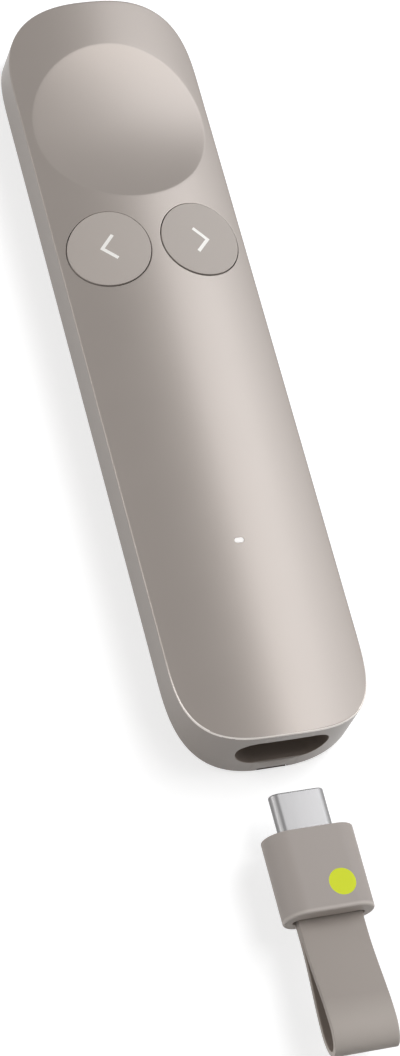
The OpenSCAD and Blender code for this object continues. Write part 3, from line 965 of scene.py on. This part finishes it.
def make_plug_sleeve():
    """The plug's drawn metal sleeve, rolled in at its mouth."""
    shape = Shape("plug_sleeve")
    root = CASE_FRONT - PLUG_ROOT
    start = plug_ring(0, root)
    steps = [plug_ring(0, PLUG_TIP - PLUG_MOUTH - EDGE_MARGIN)]
    steps += [plug_ring(a, PLUG_TIP - b) for a, b in reversed(rounded(PLUG_MOUTH, 6))]
    steps += [plug_ring(PLUG_WALL - a, PLUG_TIP - b) for a, b in PLUG_LIP]
    steps.append(plug_ring(PLUG_WALL, root))
    steps.append(start)
    shape.pull(shape.loop(start), *steps)
    return shape.done()


# ---- strap ----

def strap_mid(y):
    part = min(max((CASE_END - y) / LOOP_L, 0.0), 1.0)
    return STRAP_Z + (STRAP_END_Z - STRAP_Z) * part


def loop_side(side, inner):
    """One side of the loop as (y, z), from the neck to the tip, moved in by inner."""
    flare = LOOP_L - NECK_L - LOOP_TIP_L
    flare_steps, tip_steps = 24, 20
    points = []
    for i in range(flare_steps + 1):
        s = i / flare_steps
        y = NECK_END - flare * s
        swell = s * s * (3 - 2 * s)
        points.append((y, strap_mid(y) + side * (STRAP_T + (LOOP_H / 2 - STRAP_T) * swell - inner)))
    for i in range(1, tip_steps):
        a = math.pi / 2 * i / tip_steps
        y = NECK_END - flare - (LOOP_TIP_L - inner) * math.sin(a)
        points.append((y, strap_mid(y) + side * (LOOP_H / 2 - inner) * math.cos(a)))
    return points


def round_pin(radius, turn):
    return PIN_Y + radius * math.cos(turn), STRAP_Z + radius * math.sin(turn)


def band_outline(inset):
    """The band seen from its side: round the pin, along the neck and round the loop."""
    eye = PIN_R + STRAP_T - inset
    half = STRAP_T - inset
    lean = math.asin(half / eye)
    eye_steps = 32
    points = []
    for i in range(eye_steps + 1):
        points.append(round_pin(eye, -math.pi + lean + (2 * math.pi - 2 * lean) * i / eye_steps))
    points.append((CASE_END, STRAP_Z + half))
    points += loop_side(1, inset)
    points.append((LOOP_END + inset, STRAP_END_Z))
    points += loop_side(-1, inset)[::-1]
    points.append((CASE_END, STRAP_Z - half))
    return points


def loop_opening(inset):
    """The loop's opening, which runs to a point at the neck."""
    inner = STRAP_T - LOOP_THIN - inset
    points = [(NECK_END + LOOP_POINT + inset, strap_mid(NECK_END))]
    points += loop_side(1, inner)
    points.append((LOOP_END + inner, STRAP_END_Z))
    points += loop_side(-1, inner)[::-1]
    return points


def make_strap():
    """The moulded band, with eased edges, an eye for its pin and the loop's opening."""
    shape = Shape("strap_band")

    def across(pairs, x):
        return [millimetres(x, y, z) for y, z in pairs]

    margin = STRAP_EASE + BAND_MARGIN
    stations = [(a, -STRAP_HALF_W + b) for a, b in rounded(STRAP_EASE, 4)]
    stations += [(a, -x) for a, x in reversed(stations)]
    stations.append((margin, STRAP_HALF_W))
    eye = [round_pin(PIN_HOLE_R, 2 * math.pi * i / PIN_COUNT) for i in range(PIN_COUNT)]
    outer = shape.loop(across(band_outline(margin), -STRAP_HALF_W))
    inner = shape.loop(across(loop_opening(margin), -STRAP_HALF_W))
    hole = shape.loop(across(eye, -STRAP_HALF_W))
    shape.fill(0, outer, inner, hole)
    outer = shape.pull(outer, *[across(band_outline(a), x) for a, x in stations])
    inner = shape.pull(inner, *[across(loop_opening(a), x) for a, x in stations])
    hole = shape.pull(hole, across(eye, STRAP_HALF_W))
    shape.fill(0, outer, inner, hole)
    return shape.done(40)


# ---- finishes ----

class Socket:
    """An output of a shader node that is used in sums as a number is."""

    def __init__(self, finish, output):
        self.finish = finish
        self.output = output

    def sum(self, operation, first, second):
        return self.finish.node("ShaderNodeMath", {"operation": operation}, {0: first, 1: second})

    def __add__(self, other):
        return self.sum("ADD", self, other)

    def __radd__(self, other):
        return self.sum("ADD", other, self)

    def __sub__(self, other):
        return self.sum("SUBTRACT", self, other)

    def __mul__(self, other):
        return self.sum("MULTIPLY", self, other)


FINISHES = {}


class Finish:
    """A new material, or the world, and the few kinds of node that the finishes here are made of."""

    def __init__(self, name, world=None):
        self.name = name
        self.owner = world or bpy.data.materials.new(name)
        self.owner.use_nodes = True
        self.tree = self.owner.node_tree
        self.tree.nodes.clear()
        self.exit = self.tree.nodes.new("ShaderNodeOutputWorld" if world else "ShaderNodeOutputMaterial")

    def node(self, kind, settings=None, inputs=None, output=0):
        """Adds a node: its settings first, then the values or links of its sockets."""
        node = self.tree.nodes.new(kind)
        for key, value in (settings or {}).items():
            if key == "stops":
                while len(node.color_ramp.elements) < len(value):
                    node.color_ramp.elements.new(0.5)
                for element, (place, colour) in zip(node.color_ramp.elements, value):
                    element.position = place
                    element.color = colour
            else:
                setattr(node, key, value)
        for key, value in (inputs or {}).items():
            if isinstance(value, Socket):
                self.tree.links.new(value.output, node.inputs[key])
            else:
                node.inputs[key].default_value = value
        return Socket(self, node.outputs[output])

    def place(self):
        return self.node("ShaderNodeTexCoord", output="Object")

    def stretched(self, x, y, z):
        """Object coordinates, drawn out along an axis."""
        return self.node("ShaderNodeMapping", {}, {"Vector": self.place(), "Scale": (x, y, z)})

    def noise(self, scale, detail=2.0, vector=None):
        inputs = {"Vector": vector or self.place(), "Scale": scale, "Detail": detail}
        return self.node("ShaderNodeTexNoise", {}, inputs)

    def mix(self, share, first, second):
        inputs = {0: share, 6: first, 7: second}
        return self.node("ShaderNodeMix", {"data_type": "RGBA"}, inputs, 2)

    def bump(self, height, strength, distance):
        inputs = {"Strength": strength, "Distance": distance, "Height": height}
        return self.node("ShaderNodeBump", {}, inputs)

    def end(self, shader):
        self.tree.links.new(shader.output, self.exit.inputs["Surface"])

    def surface(self, **inputs):
        """Ends in the main shader, and puts the material in the list of finishes."""
        named = {key.replace("_", " "): value for key, value in inputs.items()}
        self.end(self.node("ShaderNodeBsdfPrincipled", {}, named))
        FINISHES[self.name] = self.owner


def linear(code):
    """A colour written as six hexadecimal digits, as shaders want it."""
    parts = []
    for i in (0, 2, 4):
        c = int(code[i:i + 2], 16) / 255
        parts.append(c / 12.92 if c <= 0.04045 else ((c + 0.055) / 1.055) ** 2.4)
    return (*parts, 1.0)


def shade(colour, factor):
    return (*[min(c * factor, 1.0) for c in colour[:3]], 1.0)


def moulded(name, code, roughness, metallic=0.0, grain=0.1, cloud=0.03, specular=0.5, paler=None):
    """Moulded or painted plastic: a fine even grain, and a very faint cloudiness.

    With paler=(code, start, end) it fades to that colour between two places along the body, in millimetres:
    a painted highlight.
    """
    finish = Finish(name)
    colour = linear(code)
    broad = finish.noise(90.0, 3.0)
    fine = finish.noise(5200.0, 2.0)
    tint = finish.mix(broad * 0.7 + fine * 0.3, shade(colour, 1 - cloud), shade(colour, 1 + cloud))
    if paler is not None:
        # the paler colour is a painted highlight
        painted_highlight, start, end = paler
        along = finish.node("ShaderNodeSeparateXYZ", {}, {"Vector": finish.place()}, 1)
        ragged = along + (broad - 0.5) * (0.3 * (start - end) * MM)
        reach = {"Value": ragged, "From Min": start * MM, "From Max": end * MM}
        tint = finish.mix(finish.node("ShaderNodeMapRange", {}, reach), tint, linear(painted_highlight))
    rough = roughness - 0.03 + broad * 0.04 + fine * 0.02
    finish.surface(
        Base_Color=tint, Roughness=rough, Metallic=metallic, Specular_IOR_Level=specular,
        Normal=finish.bump(fine, grain, 0.00002),
    )


def drawn_metal(name, code, roughness, scale=(1.0, 0.06, 1.0), grain=0.08):
    """Metal with faint marks along the way it was drawn or rolled."""
    finish = Finish(name)
    colour = linear(code)
    lines = finish.noise(4200.0, 3.0, finish.stretched(*scale))
    broad = finish.noise(240.0, 2.0)
    tint = finish.mix(broad, shade(colour, 0.96), shade(colour, 1.04))
    rough = roughness - 0.05 + lines * 0.06 + broad * 0.04
    finish.surface(
        Base_Color=tint, Roughness=rough, Metallic=1.0, Normal=finish.bump(lines, grain, 0.00001)
    )


def board_finish(name):
    """Circuit board: green mask over copper tracks, with a glass weave under it."""
    finish = Finish(name)
    wave = {"Vector": finish.place(), "Scale": 260.0, "Distortion": 2.5, "Detail": 1.0}
    tracks = finish.node("ShaderNodeTexWave", {"bands_direction": "DIAGONAL"}, wave, 1)
    line = finish.node(
        "ShaderNodeValToRGB",
        {"stops": [(0.62, (0, 0, 0, 1)), (0.68, (1, 1, 1, 1))]},
        {"Fac": tracks},
    )
    weave = finish.noise(3000.0, 1.0)
    mask = finish.mix(weave, linear("1a4030"), linear("204c39"))
    tint = finish.mix(line, mask, linear("2f6a4c"))
    finish.surface(
        Base_Color=tint, Roughness=0.32 + weave * 0.06, Normal=finish.bump(line, 0.25, 0.00003)
    )


def lamp_finish(name, code, glow):
    """A lit diffuser: milky plastic that glows evenly, a little brighter in patches."""
    finish = Finish(name)
    colour = linear(code)
    broad = finish.noise(1500.0, 2.0)
    tint = finish.mix(broad, shade(colour, 0.97), colour)
    finish.surface(
        Base_Color=tint, Roughness=0.3 + broad * 0.05, Emission_Color=tint, Emission_Strength=glow
    )


def foil_finish(name, code):
    """A wrapped pouch: dull foil with soft creases."""
    finish = Finish(name)
    colour = linear(code)
    crease = finish.noise(420.0, 4.0)
    tint = finish.mix(crease, shade(colour, 0.9), shade(colour, 1.08))
    finish.surface(
        Base_Color=tint, Metallic=0.75, Roughness=0.34 + crease * 0.12,
        Normal=finish.bump(crease, 0.35, 0.0002),
    )


moulded("shell", "938b85", 0.34, metallic=0.38, grain=0.05, specular=0.34)
# painted highlight along the crown's rounded edge, paler towards the lower end
crease_highlight = ("f0e9e3", -47, -61.5)
moulded("shell_edge_highlight", "958d87", 0.32, metallic=0.38, grain=0.04, specular=0.34, paler=crease_highlight)
moulded("keys", "afa69f", 0.6, grain=0.1)
# painted highlight on the case's rounded outer end
moulded("case", "a49b95", 0.62, grain=0.1, paler=("cdc4bd", -87.1, -87.75))
# painted highlight: the strap is painted paler towards the tip of its loop
moulded("strap", "9d948d", 0.7, grain=0.16, cloud=0.04, paler=("c4bbb3", -100, -109))
# painted shade inside the strap's loop
moulded("strap_painted_shade", "93877e", 0.75, grain=0.16, cloud=0.04, specular=0.2)
moulded("mark", "f4f1ec", 0.45, grain=0.04, cloud=0.01)
moulded("accent", "d6e018", 0.5, grain=0.05, cloud=0.02, specular=0.25)
lamp_finish("light", "f3efec", 0.12)
lamp_finish("lamp", "f2efdc", 0.9)
# painted shade: a darker brown for the slot's own faces and for the dock seen through it
moulded("slot_painted_shade", "85786e", 0.6, grain=0.12, cloud=0.05)
# painted shade for the notch and the top of the prising tongue
moulded("dark_plastic", "4a403a", 0.5, grain=0.12, cloud=0.05)
moulded("black_plastic", "2a2a2c", 0.42, grain=0.1, cloud=0.05)
moulded("pale_plastic", "ddd8cc", 0.45, grain=0.08)
moulded("chip", "202124", 0.38, grain=0.2, cloud=0.08)
board_finish("circuit_board")
moulded("antenna", "ddd6c6", 0.5, grain=0.12, cloud=0.04)
drawn_metal("copper", "c48a55", 0.34)
drawn_metal("steel", "b9babc", 0.3)
drawn_metal("plug_metal", "7c7b7b", 0.4)
foil_finish("battery_foil", "a6abb1")


def dress(piece, finish):
    piece.data.materials.clear()
    piece.data.materials.append(FINISHES[finish])


def fit(piece, body, slot, finish, *nodes):
    """Puts a finished piece on its body, in place of the nodes it stands for."""
    for layer in ("number", "loop", "sheet"):
        if layer in piece.data.attributes:
            piece.data.attributes.remove(piece.data.attributes[layer])
    dress(piece, finish)
    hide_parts(*nodes)
    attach(piece, body)
    return piece


def add_finish(piece, finish):
    """Gives a piece one more finish, and returns the number that its faces take for it."""
    piece.data.materials.append(FINISHES[finish])
    return len(piece.data.materials) - 1


def paint_shade_and_highlight(shell):
    """The slot's own faces and the notch take painted shade, and the rounded edge of the crown takes a
    painted highlight that fades in paler towards the lower end.
    """
    slot = add_finish(shell, "slot_painted_shade")
    notch = add_finish(shell, "dark_plastic")
    painted_highlight = add_finish(shell, "shell_edge_highlight")
    room = 0.05
    flat = DOCK_HALF_W - DOCK_HALF_H
    inset = CREASE + room
    for face in shell.data.polygons:
        x, y, z = face.center / MM
        # the slot's own faces take painted shade
        reach = math.hypot(max(abs(x) - flat, 0), z - DOCK_Z)
        if abs(reach - DOCK_HALF_H) < room and -BODY_L / 2 < y < DOCK_FRONT_Y + 0.2:
            face.material_index = slot
        # the notch takes painted shade
        by_the_end = y < -BODY_L / 2 + LATCH_DEEP + room
        if by_the_end and abs(x) < LATCH_W / 2 + NEAR and z < LATCH_H + NEAR:
            face.material_index = notch
        # the faces of the crown's rounded edge take the painted highlight
        reach = (abs(x) / (HALF_W - inset)) ** SIDE_POWER
        reach += (max(abs(y) - STRAIGHT, 0) / (END_DEPTH - inset)) ** END_POWER
        if reach > 1 and z > 8 and 0.1 < face.normal.z < 0.92:
            face.material_index = painted_highlight


def paint_tongue_shade(cover):
    """The upper side of the prising tongue takes painted shade, like the notch it sits in."""
    tongue_shade = add_finish(cover, "dark_plastic")
    for face in cover.data.polygons:
        if face.normal.z > 0.5 and face.center.y < (-BODY_L / 2 + COVER_INSET) * MM:
            face.material_index = tongue_shade


def paint_strap_shade(band):
    """The inside of the strap's loop is matt and painted a little darker, as painted shade."""
    darker = add_finish(band, "strap_painted_shade")
    for face in band.data.polygons:
        x, y, z = face.center / MM
        roof_or_floor = (z - strap_mid(y)) * face.normal.z < 0 and abs(face.normal.z) > 0.4
        turn = y < LOOP_END + LOOP_TIP_L and face.normal.y > 0.3
        if y < NECK_END and (roof_or_floor or turn):
            face.material_index = darker


paint_shade_and_highlight(fit(make_body_shell(), "body", "shell", "shell", "main_shell"))
paint_tongue_shade(fit(make_belly_cover(), "body", "shell", "shell", "back_cover"))
fit(make_key("left_key_top", -1), "left_key_cap", "shell", "keys", "left_key")
fit(make_key("right_key_top", 1), "right_key_cap", "shell", "keys", "right_key")
fit(make_receiver_case(), "receiver", "shell", "case", "receiver_housing")
fit(make_receiver_nose(), "receiver", "shell", "case", "receiver_nose")
fit(make_plug_sleeve(), "receiver", "plug_metal", "plug_metal", "plug_shell")
paint_strap_shade(fit(make_strap(), "receiver", "strap", "strap", "strap"))

# the nodes that show as they were packed, by finish
NODE_FINISHES = {
    "mark": ("left_key_mark", "right_key_mark"),
    "accent": ("accent_spot",),
    "light": ("light_pipe",),
    "lamp": ("status_led",),
    "circuit_board": ("main_board", "dock_board", "receiver_board"),
    "chip": ("processor_chip", "motion_sensor", "charger_chip", "receiver_chip"),
    "antenna": ("radio_antenna",),
    "copper": ("pad_sensor",),
    # painted shade for the dock in the slot
    "slot_painted_shade": ("receiver_dock",),
    "black_plastic": (
        "inner_frame", "plug_insert", "socket_tongue", "left_plunger", "right_plunger", "board_connector",
    ),
    "pale_plastic": ("battery_connector",),
    "steel": ("haptic_motor", "frame_screws", "strap_pin", "left_switch", "right_switch", "charge_socket"),
    "battery_foil": ("battery",),
}
for finish, names in NODE_FINISHES.items():
    for name in names:
        dress(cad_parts[name], finish)


# ---- stage and light, in metres ----

FLOOR_SIZE = 6
FLOOR_Z = -0.00005
FLOOR_LIFT = 0.64
WORLD_FILL = 0.15
LAMP_AIM = Vector((0, -0.01, 0.006))
WHITE = (1, 1, 1)
COOL = (0.97, 1.0, 1.04)
# each lamp's name, azimuth, elevation, power, size and colour
LAMPS = (
    ("key_light", 36, 52, 2.1, 0.46, COOL),
    ("side_light", 29, 35, 1.45, 0.46, COOL),
    ("top_light", 5, 69, 2.6, 0.46, WHITE),
    ("far_light", 60, 60, 0.25, 0.46, WHITE),
    ("right_light", 3, 28, 1.3, 0.46, WHITE),
    ("low_right_light", 0, 8, 1.0, 0.46, WHITE),
    ("left_light", 170, 40, 1.7, 0.46, WHITE),
    ("low_left_light", 163, 11, 2.7, 0.46, WHITE),
    ("front_light", 305, 42, 0.3, 0.3, WHITE),
)


def make_floor():
    """A pale floor that reads as white, far off too, and keeps the soft shadow of the object."""
    select_no_object()
    bpy.ops.mesh.primitive_plane_add(size=FLOOR_SIZE, location=(0, 0, FLOOR_Z))
    floor = bpy.context.object
    floor.name = "floor"
    paint = Finish("floor")
    seen = paint.node("ShaderNodeLightPath", output="Is Camera Ray")
    glossy = paint.node("ShaderNodeLightPath", output="Is Glossy Ray")
    through = paint.node("ShaderNodeLightPath", output="Is Transmission Ray")
    base = paint.node("ShaderNodeBsdfDiffuse", {}, {"Color": (0.6, 0.6, 0.6, 1)})
    away = paint.node("ShaderNodeVectorMath", {"operation": "LENGTH"}, {0: paint.place()}, 1)
    reach = {"Value": away, "From Min": 0.25, "From Max": 1.2, "To Min": FLOOR_LIFT, "To Max": 1.0}
    level = paint.node("ShaderNodeMapRange", {}, reach)
    lift = paint.node("ShaderNodeEmission", {}, {"Strength": (seen + glossy + through) * level})
    paint.end(paint.node("ShaderNodeAddShader", {}, {0: base, 1: lift}))
    floor.data.materials.append(paint.owner)


def make_world():
    """White where it is seen, by itself or in a gloss, and a dim even fill for everything else."""
    world = bpy.data.worlds.new("studio")
    bpy.context.scene.world = world
    sky = Finish("studio", world)
    seen = sky.node("ShaderNodeLightPath", output="Is Camera Ray")
    for ray in ("Is Glossy Ray", "Is Transmission Ray"):
        other = sky.node("ShaderNodeLightPath", output=ray)
        seen = sky.node("ShaderNodeMath", {"operation": "MAXIMUM"}, {0: seen, 1: other})
    reach = {"Value": seen, "To Min": WORLD_FILL, "To Max": 1.0}
    level = sky.node("ShaderNodeMapRange", {}, reach)
    sky.end(sky.node("ShaderNodeBackground", {}, {"Color": (1, 1, 1, 1), "Strength": level}))


def softbox(name, azimuth, elevation, power, size, colour):
    """A round soft light a metre away, that faces the middle of the object."""
    lamp = bpy.data.lights.new(name, "AREA")
    lamp.shape = "DISK"
    lamp.size = size
    lamp.energy = power
    lamp.color = colour
    turn, lean = math.radians(azimuth), math.radians(elevation)
    towards = Vector((math.cos(turn) * math.cos(lean), math.sin(turn) * math.cos(lean), math.sin(lean)))
    box = bpy.data.objects.new(name, lamp)
    bpy.context.scene.collection.objects.link(box)
    box.rotation_euler = towards.to_track_quat("Z", "Y").to_euler()
    box.location = LAMP_AIM + towards
    box.visible_camera = False


make_floor()
make_world()
for lamp in LAMPS:
    softbox(*lamp)
bpy.context.scene.view_settings.view_transform = "Standard"
